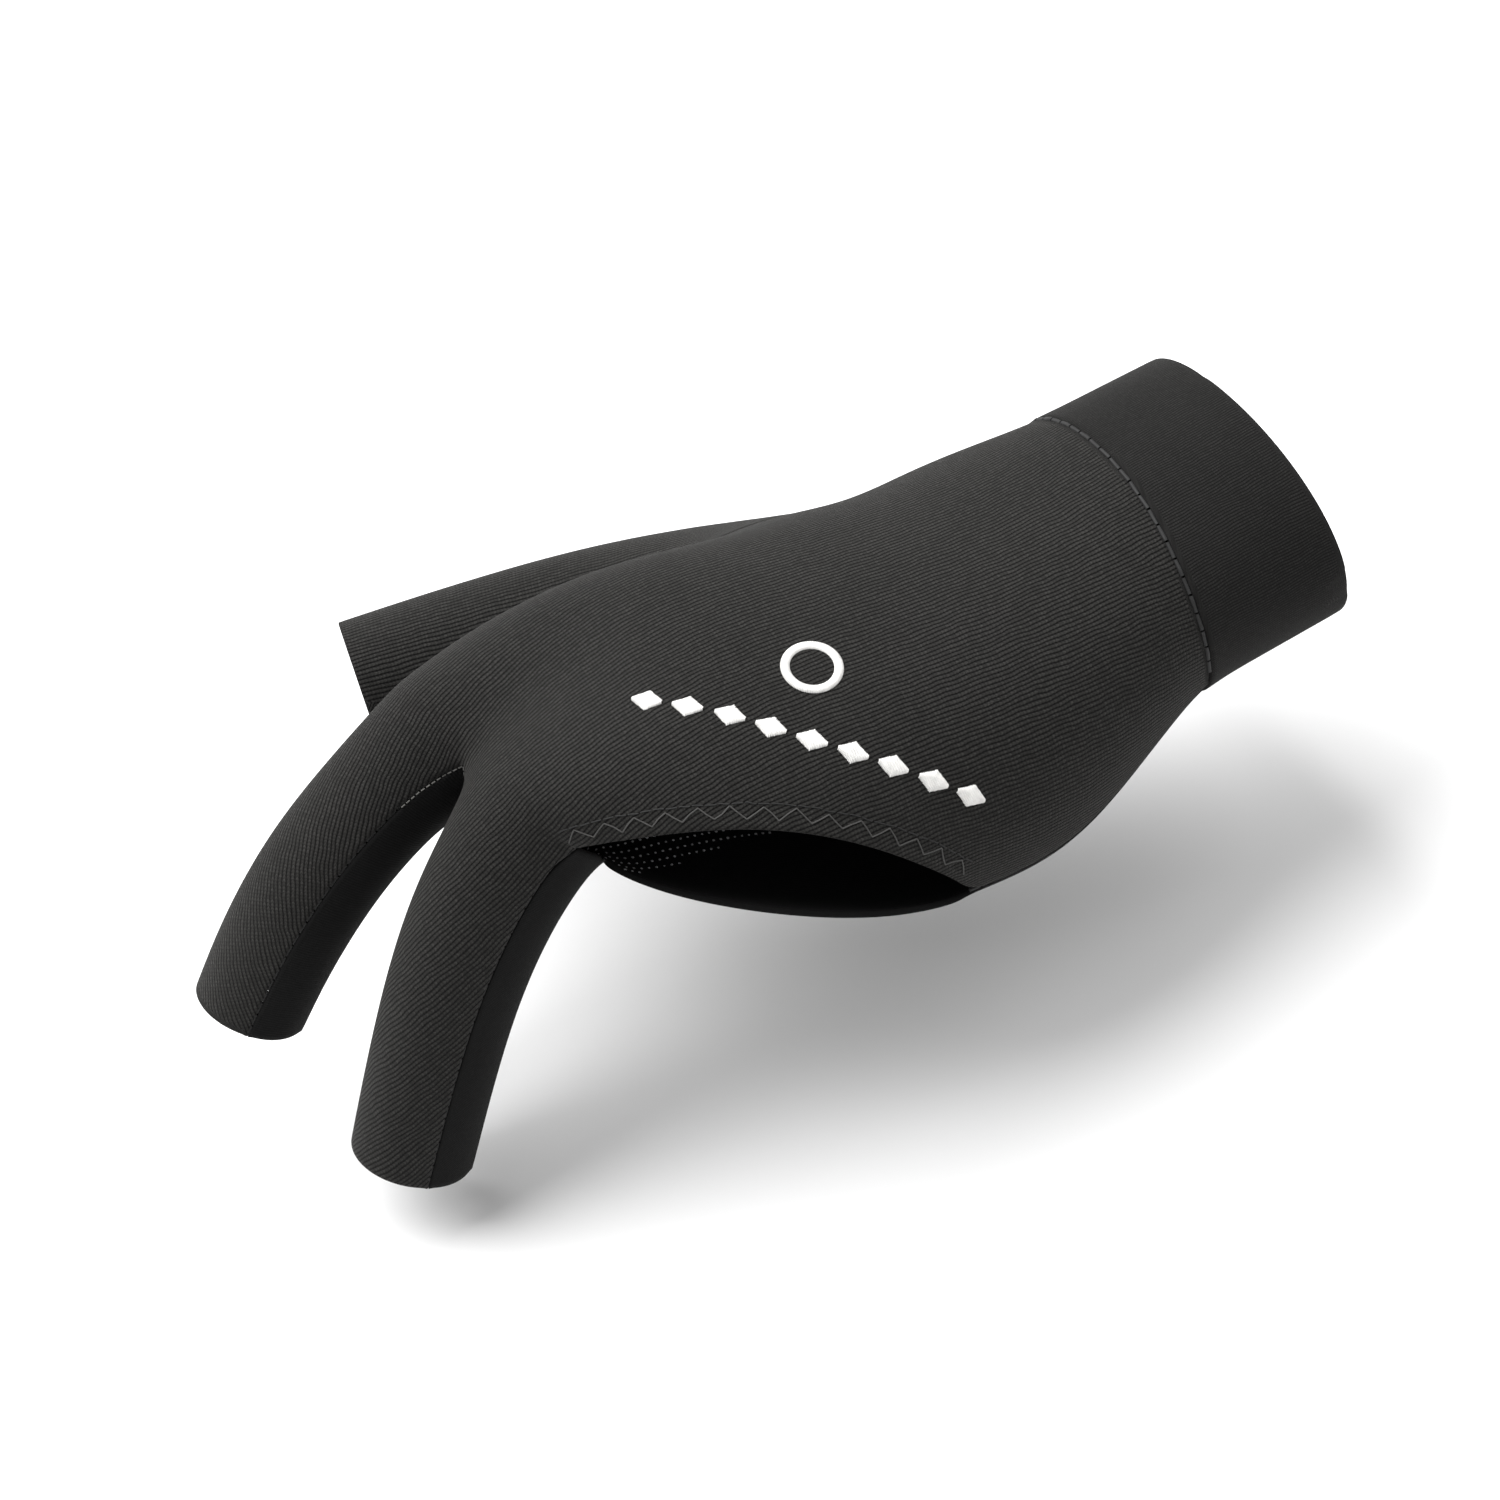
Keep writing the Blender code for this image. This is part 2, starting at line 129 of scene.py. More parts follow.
def shade(colour, times, plus=0.0):
    """The colour made darker or lighter, as red, green, blue and alpha."""
    return (*[value * times + plus for value in colour], 1.0)


def link(name, mesh):
    """A new object in the scene that shows this mesh or curve."""
    made = bpy.data.objects.new(name, mesh)
    bpy.context.scene.collection.objects.link(made)
    return made


print("Node helpers ready")

# %% [markdown]
# ## The knit
# A knitting machine makes columns of V-shaped loops, the ribs, side by side. Seen close, each
# rib is a rounded cord broken into short slanted strokes, with a furrow on each side. Besides the
# height for the bump, the group gives a painted shade for the furrows and a painted glint for the
# tops of the loops.
# The group reads a flat pattern coordinate in millimetres: x across the ribs, y along them.

# %% The knit group
FLOAT, VECTOR = "NodeSocketFloat", "NodeSocketVector"
RIB_WANDER, LOOP_SLANT = 1.1, 0.9
knit_group, g, g_in, g_out = new_group(
    "knit",
    [("Flat", VECTOR, None), ("Rib pitch", FLOAT, 0.74), ("Loop pitch", FLOAT, 0.62),
     ("Relief", FLOAT, 1.0)],
    [("Height", FLOAT), ("Furrow shade", FLOAT), ("Glint light", FLOAT)])
wobble = g.noise(g_in.outputs["Flat"], 0.16, 2.0)
parts = g.node("ShaderNodeSeparateXYZ", {"Vector": g_in.outputs["Flat"]})
wander = g.sum("MULTIPLY", g.sum("SUBTRACT", wobble, 0.5), RIB_WANDER)
across = g.sum("ADD", parts.outputs["X"], wander)
rib = g.sum("DIVIDE", across, g_in.outputs["Rib pitch"])
rib_side = g.sum("ABSOLUTE", g.sum("SUBTRACT", g.sum("FRACT", rib), 0.5))
rib_fall = g.sum("POWER", g.sum("MULTIPLY", rib_side, 2.0), 2.0)
rib_round = g.sum("SQRT", g.sum("MAXIMUM", 0.0, g.sum("SUBTRACT", 1.0, rib_fall)))
along = g.sum("DIVIDE", parts.outputs["Y"], g_in.outputs["Loop pitch"])
loop = g.sum("ADD", along, g.sum("MULTIPLY", rib_side, LOOP_SLANT))
loop_round = g.sum("SINE", g.sum("MULTIPLY", g.sum("FRACT", loop), math.pi))
cell = g.node("ShaderNodeCombineXYZ", {"X": g.sum("FLOOR", rib), "Y": g.sum("FLOOR", loop)})
dice = g.node("ShaderNodeTexWhiteNoise", {"Vector": cell.outputs[0]}, noise_dimensions="2D")
chance = dice.outputs["Value"]
swell = g.sum("MULTIPLY", loop_round, g.sum("ADD", 0.1, g.sum("MULTIPLY", chance, 0.25)))
loop_height = g.sum("MULTIPLY", rib_round, g.sum("ADD", 0.75, swell))
fuzz = g.noise(g_in.outputs["Flat"], 5.5, 3.0, 0.7)
relief = g.sum("MULTIPLY", loop_height, g_in.outputs["Relief"])
g.put(g_out.inputs["Height"], g.sum("ADD", relief, g.sum("MULTIPLY", fuzz, 0.35)))
# Furrow shade output: painted shade, which darkens the colour where the furrows between the ribs
# lie low.
crest = g.sum("MULTIPLY", rib_round, g.sum("ADD", 0.78, g.sum("MULTIPLY", loop_round, 0.22)))
g.put(g_out.inputs["Furrow shade"], g.step(crest, 0.30, 0.92, 1.0, 0.0))
# Glint light output: painted highlight, pale glints on the tops of the loops, thinned by the fuzz
# noise.
glint = g.sum("ADD", 0.45, g.sum("MULTIPLY", chance, 0.55))
glint = g.sum("MULTIPLY", g.step(crest, 0.55, 1.0), glint)
g.put(g_out.inputs["Glint light"], g.sum("MULTIPLY", glint, g.step(fuzz, 0.35, 0.65, 0.25, 1.0)))
print("Knit group:", len(knit_group.nodes), "nodes")

# %% [markdown]
# ## Four cloths
# The back is a rib knit, the palm and the side strips a finer smooth knit, and the cuff a firm
# double band. All are black polyester with some stretch yarn. Dyed yarn is never quite even, so
# the colour varies in patches. On top of that the furrows get painted shade, and the tops of the
# loops get painted glints of light.

# %% Cloth materials
RELIEF_DEPTH = 0.18 * MM


def cloth_material(name, colour, rib_pitch, loop_pitch, relief, furrow_shade, glint_light, bump, sheen):
    """Knitted cloth: one knit group drives the colour and the bump."""
    material, c, shader = new_look(name)
    flat = c.node("ShaderNodeUVMap", uv_map="pattern").outputs["UV"]
    in_mm = c.node("ShaderNodeVectorMath", {0: flat, 1: (1000.0, 1000.0, 1.0)},
                   operation="MULTIPLY").outputs[0]
    place = c.node("ShaderNodeTexCoord").outputs["Object"]
    knit = c.node("ShaderNodeGroup", node_tree=knit_group)
    for label, value in (("Flat", in_mm), ("Rib pitch", rib_pitch), ("Loop pitch", loop_pitch),
                         ("Relief", relief)):
        c.put(knit.inputs[label], value)
    patches = c.step(c.noise(place, 45.0, 3.0), 0.3, 0.7)
    base = c.mix(patches, shade(colour, 0.82), shade(colour, 1.12))
    # Painted shade: the furrows darken the base colour towards near black.
    furrow_shade_amount = c.sum("MULTIPLY", knit.outputs["Furrow shade"], furrow_shade)
    dark = c.mix(furrow_shade_amount, base, shade(colour, 0.12))
    # Painted highlight: glints on the loop tops lighten the colour.
    glint_light_amount = c.sum("MULTIPLY", knit.outputs["Glint light"], glint_light)
    c.put(shader.inputs["Base Color"], c.mix(glint_light_amount, dark, shade(colour, 5.5, 0.004)))
    c.put(shader.inputs["Roughness"], 0.92)
    c.put(shader.inputs["Specular IOR Level"], 0.12)
    c.put(shader.inputs["Sheen Weight"], sheen)
    c.put(shader.inputs["Sheen Roughness"], 0.45)
    c.put(shader.inputs["Sheen Tint"], (0.9, 0.88, 0.86, 1.0))
    relief_node = c.node("ShaderNodeBump", {"Height": knit.outputs["Height"], "Strength": bump,
                                            "Distance": RELIEF_DEPTH})
    c.put(shader.inputs["Normal"], relief_node.outputs["Normal"])
    return material


# name, colour, rib pitch, loop pitch, relief, furrow shade, glint light, bump, sheen
rib_knit = cloth_material("rib_knit_cloth", (0.0112, 0.0109, 0.0103),
                          0.74, 0.62, 1.0, 1.0, 0.60, 1.0, 0.05)
smooth_knit = cloth_material("smooth_knit_cloth", (0.0045, 0.0045, 0.0045),
                             0.45, 0.40, 0.5, 0.6, 0.25, 0.5, 0.03)
cuff_knit = cloth_material("cuff_knit_cloth", (0.0088, 0.0086, 0.0083),
                           0.50, 0.45, 0.5, 0.8, 0.4, 0.6, 0.035)
lining = cloth_material("lining", (0.0020, 0.0020, 0.0024),
                        0.50, 0.45, 0.6, 0.5, 0.15, 0.5, 0.01)
print("Cloth materials:", rib_knit.name, smooth_knit.name, cuff_knit.name, lining.name)

# %% [markdown]
# ## From CAD pieces to cloth
# Each CAD piece is a shell: an outer face, an inner face and the cut edge that joins them.
# A rim face is found by its wall: it has an edge exactly as long as the cloth is thick.
# Then the shell is unwrapped, which lays the cloth flat as it was before sewing, and the flat
# pattern is turned so that the ribs run from the wrist to the fingertips.

# %% Cloth pieces
CUFF_WALL, CLOTH_WALL, CUT_CREASE = 2.0 * MM, 1.1 * MM, 0.55
# node: material, slot, a point inside the piece, and which way its outside faces from there
CLOTH = {
    "back_panel": (rib_knit, "rib_knit", (-0.080, 0.0, 0.0), 1),
    "palm_panel": (smooth_knit, "smooth_knit", (-0.080, 0.0, 0.010), 1),
    "cuff": (cuff_knit, "cuff_knit", (-0.012, 0.0, 0.0), 1),
    "thumb_sleeve": (rib_knit, "rib_knit", (-0.110, 0.055, -0.005), 1),
    "crotch_strip": (smooth_knit, "smooth_knit", (-0.155, 0.0115, -0.010), -1),
    "middle_side_strip": (smooth_knit, "smooth_knit", (-0.150, 0.0, -0.015), 1),
}
OUTER, INNER, RIM = 0, 1, 2


def shell_copy(node):
    """The node's mesh with shared points joined, and each face marked outer, inner or rim."""
    bm = bmesh.new()
    bm.from_mesh(frame["nodes"][node].data)
    bm.transform(frame["nodes"][node].matrix_world)
    bmesh.ops.remove_doubles(bm, verts=bm.verts, dist=1e-6)
    wall = CUFF_WALL if node == "cuff" else CLOTH_WALL
    part = bm.faces.layers.int.new("part")
    for face in bm.faces:
        is_rim = any(abs(edge.calc_length() - wall) < 3e-6 for edge in face.edges)
        face[part] = RIM if is_rim else -1
    middle, sign = Vector(CLOTH[node][2]), CLOTH[node][3]
    islands = []
    for start in bm.faces:
        if start[part] != -1:
            continue
        island, stack = [], [start]
        start[part] = OUTER
        while stack:
            face = stack.pop()
            island.append(face)
            for edge in face.edges:
                for other in edge.link_faces:
                    if other[part] == -1:
                        other[part] = OUTER
                        stack.append(other)
        islands.append(island)
    for island in islands:
        flux = sum((f.calc_center_median() - middle).dot(f.normal) * f.calc_area() for f in island)
        for face in island:
            face[part] = OUTER if flux * sign > 0 else INNER
    print(node, "islands", [len(i) for i in islands], "rim", sum(f[part] == RIM for f in bm.faces))
    return bm, part


def sharpen_corners(bm, part, crease):
    """Keeps the corners of a cut edge square, where a seam meets a hem."""
    corner = bm.verts.layers.float.new("crease_vert")
    for vert in bm.verts:
        kinds = {face[part] for face in vert.link_faces}
        if RIM not in kinds or len(kinds) < 2:
            continue
        along = [e for e in vert.link_edges if len({f[part] for f in e.link_faces}) > 1]
        if len(along) != 2:
            continue
        ways = [(e.other_vert(vert).co - vert.co).normalized() for e in along]
        if ways[0].dot(ways[1]) > -0.55:
            vert[corner] = 1.0
            for edge in vert.link_edges:
                if edge not in along and all(f[part] == RIM for f in edge.link_faces):
                    edge[crease] = 1.0


def cut_tube(bm, part):
    """Marks one line of edges under a tube as a seam, so that it can be laid flat."""
    for side in (OUTER, INNER):
        ends = [v for v in bm.verts if {f[part] for f in v.link_faces} == {side, RIM}]
        ends = [v for v in ends if v.co.x > max(e.co.x for e in ends) - 0.012]
        vert = min(ends, key=lambda v: v.co.z)
        while True:
            ways = [e for e in vert.link_edges if all(f[part] == side for f in e.link_faces)]
            ahead = [e for e in ways if (e.other_vert(vert).co - vert.co).normalized().x < -0.5]
            if not ahead:
                break
            edge = min(ahead, key=lambda e: (e.other_vert(vert).co - vert.co).normalized().x)
            edge.seam = True
            vert = edge.other_vert(vert)


def lay_flat(obj):
    """Unwraps the shell into its flat pattern, in metres, with the ribs along V."""
    mesh = obj.data
    bpy.context.view_layer.objects.active = obj
    for other in bpy.context.selected_objects:
        other.select_set(False)
    obj.select_set(True)
    bpy.ops.object.mode_set(mode="EDIT")
    bpy.ops.mesh.select_all(action="SELECT")
    bpy.ops.uv.unwrap(method="MINIMUM_STRETCH", iterations=40, margin=0.01)
    bpy.ops.object.mode_set(mode="OBJECT")
    bm = bmesh.new()
    bm.from_mesh(mesh)
    uv = bm.loops.layers.uv["pattern"]
    part = bm.faces.layers.int["part"]
    for side in (OUTER, INNER):
        faces = [f for f in bm.faces if f[part] == side]
        turn, area, flat_area = 0j, 0.0, 0.0
        for face in faces:
            a, b, c = face.loops[0], face.loops[1], face.loops[2]
            e1, e2 = b.vert.co - a.vert.co, c.vert.co - a.vert.co
            w1, w2 = b[uv].uv - a[uv].uv, c[uv].uv - a[uv].uv
            size = e1.cross(e2).length
            area += size
            flat_area += abs(w1.x * w2.y - w1.y * w2.x)
            lengthwise = Vector((1.0, 0.0, 0.0))
            lengthwise -= face.normal * lengthwise.dot(face.normal)
            shares = np.linalg.lstsq(np.array([e1, e2]).T, np.array(lengthwise), rcond=None)[0]
            way = w1 * shares[0] + w2 * shares[1]
            turn += complex(way.x, way.y) * size
        scale = math.sqrt(area / flat_area)
        rotate = Matrix.Rotation(math.pi / 2 - math.atan2(turn.imag, turn.real), 2)
        for face in faces:
            for loop in face.loops:
                loop[uv].uv = (rotate @ loop[uv].uv) * scale
    for face in bm.faces:
        if face[part] != RIM:
            continue
        for loop in face.loops:
            near = [l for l in loop.vert.link_loops if l.face[part] != RIM]
            if near:
                loop[uv].uv = near[0][uv].uv
    bm.to_mesh(mesh)
    bm.free()


cloth = {}
for node, (material, slot_name, _, _) in CLOTH.items():
    bm, part = shell_copy(node)
    if node in ("cuff", "thumb_sleeve"):
        cut_tube(bm, part)
    bmesh.ops.join_triangles(bm, faces=bm.faces, cmp_seam=True,
                             angle_face_threshold=math.radians(40),
                             angle_shape_threshold=math.radians(70))
    crease = bm.edges.layers.float.new("crease_edge")
    for edge in bm.edges:
        kinds = {face[part] for face in edge.link_faces}
        if RIM in kinds and len(kinds) > 1:
            edge[crease] = CUT_CREASE
            edge.seam = True
    sharpen_corners(bm, part, crease)
    for face in bm.faces:
        face.smooth = True
        face.material_index = 1 if face[part] == INNER else 0
    bm.loops.layers.uv.new("pattern")
    mesh = bpy.data.meshes.new(node + "_cloth")
    bm.to_mesh(mesh)
    bm.free()
    mesh.materials.append(material)
    mesh.materials.append(lining)
    piece = link(node + "_cloth", mesh)
    lay_flat(piece)
    smooth = piece.modifiers.new("smooth", "SUBSURF")
    smooth.levels = smooth.render_levels = 2
    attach(piece, "root")
    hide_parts(node)
    cloth[node] = piece
    quads = sum(len(p.vertices) == 4 for p in mesh.polygons)
    print(node, "faces", len(mesh.polygons), "quads", quads)

# %% [markdown]
# ## Threads
# Every stitch is a short run of thread. A curve with a round bevel is the natural way to draw
# one, and hundreds of them can share one curve object before it is turned into a mesh.

# %% Thread helpers
THREAD_GRAIN, TWIST_DEPTH = 900.0, 0.05 * MM


def thread_material(name, colour, roughness):
    """Spun thread: a faint twist in the bump and a little unevenness in the colour."""
    material, c, shader = new_look(name)
    place = c.node("ShaderNodeTexCoord").outputs["Object"]
    uneven = c.noise(place, THREAD_GRAIN, 3.0)
    c.put(shader.inputs["Base Color"], c.mix(uneven, shade(colour, 0.7), shade(colour, 1.15)))
    c.put(shader.inputs["Roughness"], roughness)
    twist = c.node("ShaderNodeTexWave", {"Vector": place, "Scale": THREAD_GRAIN,
                                         "Distortion": 2.0}).outputs["Fac"]
    relief_node = c.node("ShaderNodeBump", {"Height": twist, "Strength": 0.4,
                                            "Distance": TWIST_DEPTH})
    c.put(shader.inputs["Normal"], relief_node.outputs["Normal"])
    return material


white_thread = thread_material("white_thread", (0.80, 0.79, 0.77), 0.45)
grey_thread = thread_material("grey_thread", (0.042, 0.041, 0.039), 0.6)
pale_thread = thread_material("pale_thread", (0.11, 0.107, 0.10), 0.6)
black_thread = thread_material("black_thread", (0.006, 0.006, 0.006), 0.7)


def thread(name, strokes, radius, material):
    """One mesh of many thread strokes, each a list of points."""
    curve = bpy.data.curves.new(name, "CURVE")
    curve.dimensions = "3D"
    curve.bevel_depth = radius
    curve.bevel_resolution = 1
    curve.use_fill_caps = True
    for points in strokes:
        line = curve.splines.new("POLY")
        line.points.add(len(points) - 1)
        for target, point in zip(line.points, points):
            target.co = (*point, 1.0)
    maker = link(name + "_curve", curve)
    bpy.context.view_layer.update()
    drawn = maker.evaluated_get(bpy.context.evaluated_depsgraph_get())
    mesh = bpy.data.meshes.new_from_object(drawn)
    bpy.data.objects.remove(maker, do_unlink=True)
    mesh.materials.clear()
    mesh.materials.append(material)
    for polygon in mesh.polygons:
        polygon.use_smooth = True
    piece = link(name, mesh)
    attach(piece, "root")
    print(name, len(strokes), "stitches,", len(mesh.polygons), "faces")


def resample(points, step):
    """Even points along a line, about one step apart."""
    spans = [(b - a).length for a, b in zip(points, points[1:])]
    lengths = np.concatenate([[0.0], np.cumsum(spans)])
    count = max(2, int(round(lengths[-1] / step)) + 1)
    table = np.array([tuple(p) for p in points])
    spots = np.linspace(0.0, lengths[-1], count)
    return [Vector([np.interp(s, lengths, table[:, i]) for i in range(3)]) for s in spots]


bpy.context.view_layer.update()
depsgraph = bpy.context.evaluated_depsgraph_get()


def side_tree(node, side):
    """A search tree of one side of the smoothed cloth."""
    mesh = cloth[node].evaluated_get(depsgraph).to_mesh()
    marks = mesh.attributes["part"].data
    faces = [tuple(p.vertices) for p in mesh.polygons if marks[p.index].value == side]
    return BVHTree.FromPolygons([v.co.copy() for v in mesh.vertices], faces)


surface = {node: side_tree(node, OUTER) for node in cloth}
palm_inside = side_tree("palm_panel", INNER)
print("Surfaces ready:", len(surface))

# %% [markdown]
# ## Seams
# Where two panels meet they are sewn edge to edge, and the thread lies low in the groove. The
# same walk round each cut edge also finds the hems, where the cloth has no neighbour.

# %% Edges of the pieces
def rim_loops(node):
    """The outer cut edges of a piece, each a closed list of (place, normal)."""
    bm = bmesh.new()
    bm.from_mesh(cloth[node].data)
    part = bm.faces.layers.int["part"]
    edges = dict.fromkeys(e for e in bm.edges if {f[part] for f in e.link_faces} == {OUTER, RIM})
    loops = []
    while edges:
        first = next(iter(edges))
        del edges[first]
        loop, vert = [first.verts[0]], first.verts[1]
        while vert is not loop[0]:
            loop.append(vert)
            edge = next((e for e in vert.link_edges if e in edges), None)
            if edge is None:
                break
            edges.pop(edge, None)
            vert = edge.other_vert(vert)
        rows = []
        for v in loop:
            outside = sum((f.normal for f in v.link_faces if f[part] == OUTER), Vector())
            rows.append((v.co.copy(), outside.normalized()))
        loops.append(rows)
    bm.free()
    return loops


edges_of = {node: rim_loops(node) for node in cloth}
rim_points = {}
for node, loops in edges_of.items():
    rows = [row for loop in loops for row in loop]
    rim_points[node] = KDTree(len(rows))
    for i, (co, _) in enumerate(rows):
        rim_points[node].insert(co, i)
    rim_points[node].balance()


SEAM_REACH = 0.7 * MM


def neighbour(node, co):
    """The piece whose cut edge lies against this point, or None on a hem."""
    near = [(tree.find(co)[2], other) for other, tree in rim_points.items() if other != node]
    distance, other = min(near)
    return other if distance < SEAM_REACH else None


def runs(node, keep):
    """Stretches of a piece's cut edge whose neighbour is kept, as lists of (place, normal)."""
    found = []
    for loop in edges_of[node]:
        flags = [keep(neighbour(node, co), co) for co, _ in loop]
        if all(flags):
            found.append(loop + loop[:1])
            continue
        start = flags.index(False)
        order = loop[start:] + loop[:start]
        marks = flags[start:] + flags[:start]
        run = []
        for row, mark in zip(order, marks):
            if mark:
                run.append(row)
            elif run:
                found.append(run)
                run = []
        if run:
            found.append(run)
    return [run for run in found if len(run) > 2]


print("Cut edges:", {node: [len(loop) for loop in loops] for node, loops in edges_of.items()})

# %% [markdown]
# ## Sewing the panels together
# A lockstitch pulls its thread into the groove between two cut edges, so that it is dark and
# hardly seen. It is sunk below the cloth here too. The cuff's thread lies higher, because the
# band is thick, and round the crotch a paler thread shows at the edge of the back.

# %% Seam threads
STITCH_STEP = 0.35 * MM


def sunk(rows, depth):
    """The rows' points, moved into the cloth."""
    return [co - normal * depth for co, normal in rows]


def stitches(points, length, gap):
    """Cuts a line into stitches with a small gap after each."""
    fine = resample(points, STITCH_STEP)
    per, skip = max(2, int(length / STITCH_STEP)), max(1, int(gap / STITCH_STEP))
    return [fine[i:i + per + 1] for i in range(0, len(fine) - per, per + skip)]


order = list(cloth)
low_seams, cuff_seams = [], []
for node in cloth:
    for other in order[order.index(node) + 1:]:
        for run in runs(node, lambda n, co: n == other):
            if "cuff" in (node, other):
                cuff_seams += stitches(sunk(run, 0.15 * MM), 3.0 * MM, 0.35 * MM)
            else:
                low_seams += stitches(sunk(run, 0.50 * MM), 2.4 * MM, 0.35 * MM)
thread("seam_thread", low_seams, 0.30 * MM, black_thread)
thread("cuff_seam_thread", cuff_seams, 0.40 * MM, black_thread)

CROTCH_FROM = -0.150
crotch_seams = []
for run in runs("crotch_strip", lambda n, co: n == "back_panel" and co.x > CROTCH_FROM):
    crotch_seams += stitches(sunk(run, 0.02 * MM), 0.9 * MM, 0.35 * MM)
thread("crotch_edge_thread", crotch_seams, 0.13 * MM, pale_thread)

# %% [markdown]
# ## The hem of the open side
# The ring and little fingers leave through one wide opening. Its hem is turned in and held by
# a zigzag cover stitch, which shows as a wavy line of thread a few millimetres from the edge.

# %% Hem stitches
HEM_WAVE, HEM_STEP, HEM_BESIDE = (1.6 * MM, 3.6 * MM), 1.25 * MM, 4.1 * MM
RIDGE_HEIGHT, OPENING_SIDE = 0.030, -0.030


def on_cloth(node, point, lift):
    """The nearest point of the cloth's outside, lifted off it."""
    place, normal, _, _ = surface[node].find_nearest(point)
    return place + normal * lift


def hem_zigzag(node, rows, near, far, step, lift):
    """A wavy line of thread that runs beside a hem."""
    fine = resample([co for co, _ in rows], step)
    middle = (near + far) / 2
    line = []
    for i, point in enumerate(fine):
        ahead = (fine[min(i + 1, len(fine) - 1)] - fine[max(i - 1, 0)]).normalized()
        inward = surface[node].find_nearest(point)[1].cross(ahead)
        if inward.dot(Vector((point.x, 0.0, RIDGE_HEIGHT)) - point) < 0:
            inward.negate()
        wave = (near, middle, far, middle)[i % 4] + random.uniform(-0.15, 0.15) * MM
        line.append(on_cloth(node, point + inward * wave, lift))
    return line


hems = runs("back_panel", lambda n, co: n is None)
hems = [run for run in hems if min(co.y for co, _ in run) < OPENING_SIDE]
print("Opening hem:", [len(run) for run in hems])
waves, rows_beside = [], []
for run in hems:
    wave = hem_zigzag("back_panel", run, *HEM_WAVE, HEM_STEP, 0.10 * MM)
    waves += [wave[i:i + 2] for i in range(len(wave) - 1)]
    beside = hem_zigzag("back_panel", run, HEM_BESIDE, HEM_BESIDE, 1.0 * MM, 0.05 * MM)
    rows_beside += stitches(beside, 1.8 * MM, 0.5 * MM)
thread("hem_zigzag_thread", waves, 0.12 * MM, grey_thread)
thread("hem_cover_thread", rows_beside, 0.11 * MM, black_thread)

# %% [markdown]
# ## Grip dots
# The inside of the palm has rows of small dots near the roots of the fingers. Their pale grey is
# painted light: it stands in for light showing through holes in the palm's mesh. They are
# placed on the flat pattern, where rows are straight, and carried from there onto the cloth.

# %% Grip dots
ROW_STEP, DOT_STEP, DOT_HEIGHT = 1.9 * MM, 1.3 * MM, 0.16 * MM
DOTS_FROM, DOTS_TO, DOTS_HIGH = -0.127, -0.088, 0.020


def dotted(spot):
    """Whether a point of the palm is in the dotted patch, whose low side slants."""
    low_side = (spot.x + 0.120) * 0.2 - 0.013
    return DOTS_FROM < spot.x < DOTS_TO and low_side < spot.y < DOTS_HIGH


def flat_map(node, side):
    """A lookup from the flat pattern to the cloth: a tree, flat triangles, solid triangles."""
    bm = bmesh.new()
    bm.from_mesh(cloth[node].data)
    uv, part = bm.loops.layers.uv["pattern"], bm.faces.layers.int["part"]
    flats, solids = [], []
    for face in bm.faces:
        if face[part] != side:
            continue
        loops = list(face.loops)
        for i in range(1, len(loops) - 1):
            three = (loops[0], loops[i], loops[i + 1])
            flats.append([Vector((*l[uv].uv, 0.0)) for l in three])
            solids.append([l.vert.co.copy() for l in three])
    bm.free()
    points = [p for three in flats for p in three]
    tree = BVHTree.FromPolygons(points, [(i, i + 1, i + 2) for i in range(0, len(points), 3)])
    return tree, flats, solids


def flat_to_cloth(maps, u, v):
    """The point of the cloth at a place on the flat pattern, or None off its edge."""
    tree, flats, solids = maps
    place, _, index, distance = tree.find_nearest(Vector((u, v, 0.0)))
    if place is None or distance > 0.1 * MM:
        return None
    a, b, c = flats[index]
    rows = np.array([[a.x, b.x, c.x], [a.y, b.y, c.y], [1.0, 1.0, 1.0]])
    weights = np.linalg.solve(rows, [u, v, 1.0])
    return sum((p * w for p, w in zip(solids[index], weights)), Vector())


palm_flat = flat_map("palm_panel", INNER)
corners = [p for three in palm_flat[1] for p in three]
low_u, high_u = min(p.x for p in corners), max(p.x for p in corners)
low_v, high_v = min(p.y for p in corners), max(p.y for p in corners)
dots = bmesh.new()
count = 0
for i in range(int((high_u - low_u) / ROW_STEP)):
    for j in range(int((high_v - low_v) / DOT_STEP)):
        spot = flat_to_cloth(palm_flat, low_u + i * ROW_STEP, low_v + j * DOT_STEP)
        if spot is None or not dotted(spot):
            continue
        place, normal, _, _ = palm_inside.find_nearest(spot)
        size = random.uniform(0.21, 0.27) * MM
        upright = normal.to_track_quat("Z", "Y").to_matrix().to_4x4()
        flatten = Matrix.Diagonal((size, size, DOT_HEIGHT, 1.0))
        matrix = Matrix.Translation(place) @ upright @ flatten
        bmesh.ops.create_uvsphere(dots, u_segments=8, v_segments=5, radius=1.0, matrix=matrix)
        count += 1
for face in dots.faces:
    face.smooth = True
dot_mesh = bpy.data.meshes.new("grip_dots")
dots.to_mesh(dot_mesh)
dots.free()
# Painted light: the dots' pale grey stands in for light showing through the palm's mesh.
dot_look, c, shader = new_look("dot_painted_backlight")
dot_tone = c.noise(c.node("ShaderNodeTexCoord").outputs["Object"], 700.0)
dot_backlight_colour = c.mix(dot_tone, (0.22, 0.22, 0.23, 1.0), (0.55, 0.55, 0.57, 1.0))
c.put(shader.inputs["Base Color"], dot_backlight_colour)
c.put(shader.inputs["Roughness"], 0.35)
dot_mesh.materials.append(dot_look)
grip_dots = link("grip_dots", dot_mesh)
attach(grip_dots, "root")
print("Grip dots:", count)

# %% [markdown]
# ## Embroidery on the back
# Gloves of this kind carry white embroidery on the back. This one has a plain design of its
# own, an arc of diamonds like the sights on a table's rail, under a ring for a ball. Satin
# stitch lays threads side by side, so each shape swells a little and catches the light.

